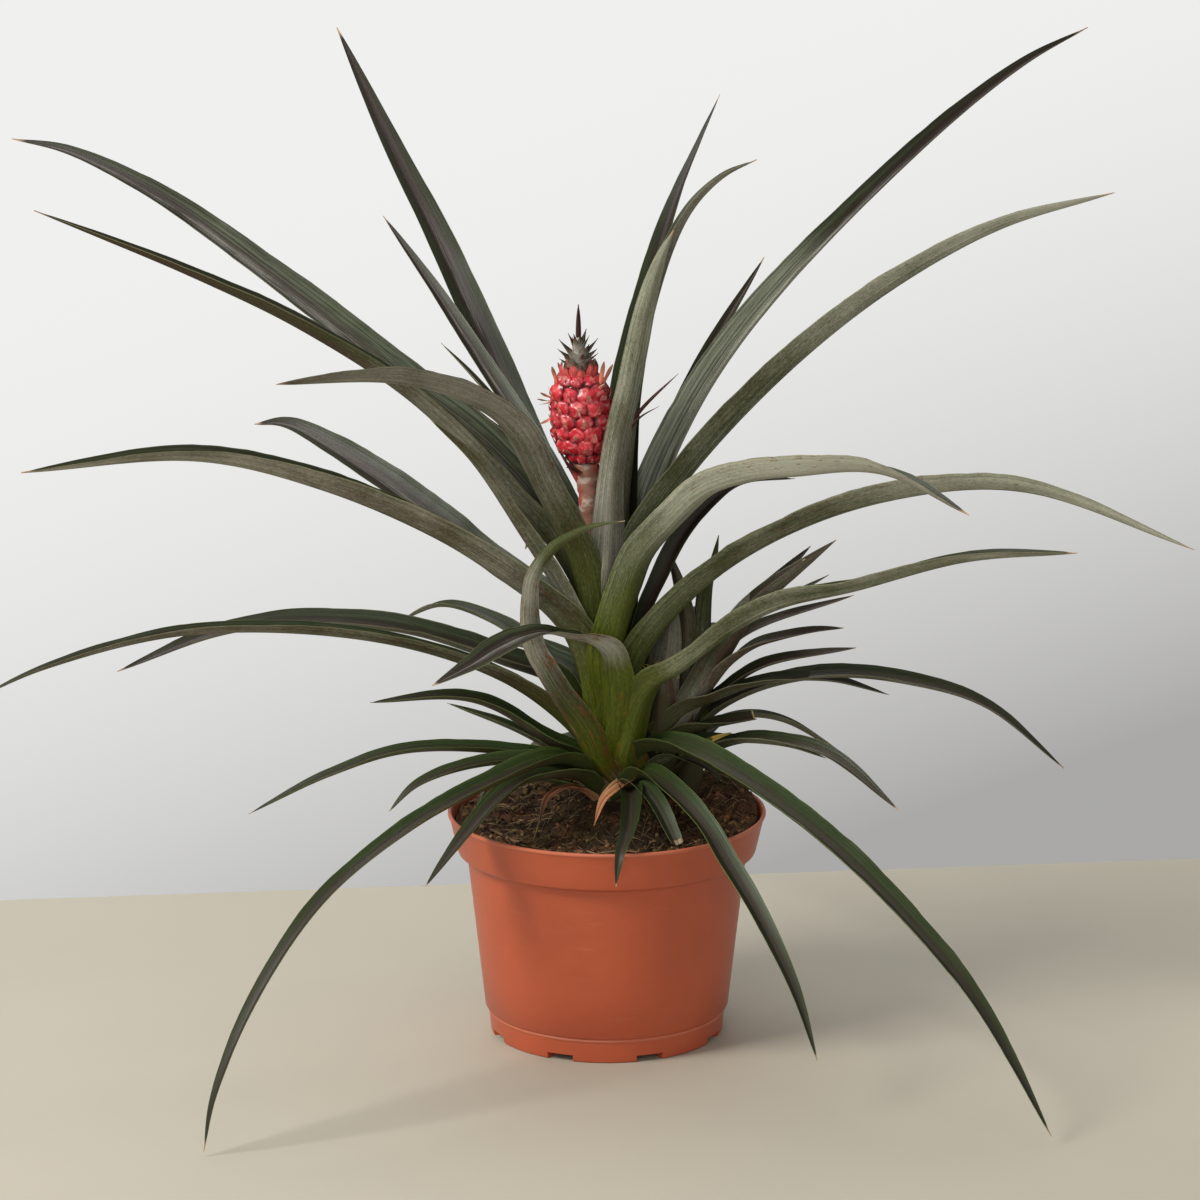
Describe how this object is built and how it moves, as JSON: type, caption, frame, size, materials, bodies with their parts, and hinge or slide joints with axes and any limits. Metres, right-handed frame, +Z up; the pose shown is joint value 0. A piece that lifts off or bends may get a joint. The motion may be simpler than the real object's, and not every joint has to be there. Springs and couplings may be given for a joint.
{
  "type": "potted pineapple plant",
  "caption": "Ornamental pineapple plant with a small red fruit, long arching leaves and a side shoot, growing in peat in a round terracotta-coloured plastic pot.",
  "frame": {"origin": "middle of the underside of the pot, on the surface it stands on", "axes": "+Z up along the pot's axis, -Y to the front that the picture shows, +X to the right"},
  "size_m": [0.5489, 0.4441, 0.4616],
  "materials": {
    "pot_plastic": "satin terracotta-coloured moulded plastic",
    "peat": "loose dark peat with pale straw fibres",
    "stalk": "fleshy, with pale bract scars",
    "upper_leaf": "leathery with a silvery scurf, purple-brown to the tip",
    "middle_leaf": "leathery, grey-green, green at the foot",
    "lower_leaf": "glossy dark green with a purple-brown stripe",
    "dry_leaf": "papery, dried",
    "bract": "leathery brown-red",
    "fruit_skin": "glossy red eyes with pink and straw-coloured tips",
    "crown_leaf": "grey-green scurf with purple tips",
    "shoot_leaf": "leathery green and red-brown"
  },
  "bodies": {
    "root": {"pot": "pot_plastic", "soil": "peat", "stem": "stalk", "leaf_upper_01": "upper_leaf", "leaf_upper_02": "upper_leaf", "leaf_upper_03": "upper_leaf", "leaf_upper_04": "upper_leaf", "leaf_upper_05": "upper_leaf", "leaf_upper_06": "upper_leaf", "leaf_upper_07": "upper_leaf", "leaf_upper_08": "upper_leaf", "leaf_upper_12": "upper_leaf", "leaf_upper_13": "upper_leaf", "leaf_upper_09": "upper_leaf", "leaf_upper_10": "upper_leaf", "leaf_upper_11": "upper_leaf", "leaf_upper_14": "upper_leaf", "leaf_upper_15": "upper_leaf", "leaf_middle_01": "middle_leaf", "leaf_middle_02": "middle_leaf", "leaf_middle_03": "middle_leaf", "leaf_middle_04": "middle_leaf", "leaf_middle_05": "middle_leaf", "leaf_middle_06": "middle_leaf", "leaf_middle_07": "middle_leaf", "leaf_middle_08": "middle_leaf", "leaf_middle_09": "middle_leaf", "leaf_middle_10": "middle_leaf", "leaf_back_01": "middle_leaf", "leaf_back_02": "middle_leaf", "leaf_back_03": "middle_leaf", "leaf_back_04": "middle_leaf", "leaf_back_05": "middle_leaf", "leaf_back_06": "middle_leaf", "leaf_back_07": "middle_leaf", "leaf_lower_01": "lower_leaf", "leaf_lower_02": "lower_leaf", "leaf_lower_03": "lower_leaf", "leaf_lower_04": "lower_leaf", "leaf_lower_05": "lower_leaf", "leaf_lower_06": "lower_leaf", "leaf_lower_07": "lower_leaf", "leaf_lower_08": "lower_leaf", "leaf_lower_09": "lower_leaf", "leaf_lower_10": "lower_leaf", "leaf_dry_01": "dry_leaf", "leaf_dry_02": "dry_leaf", "leaf_lower_11": "lower_leaf", "fruit_bracts": "bract", "fruit": "fruit_skin", "crown": "crown_leaf", "side_shoot": "shoot_leaf"}
  },
  "joints": []
}
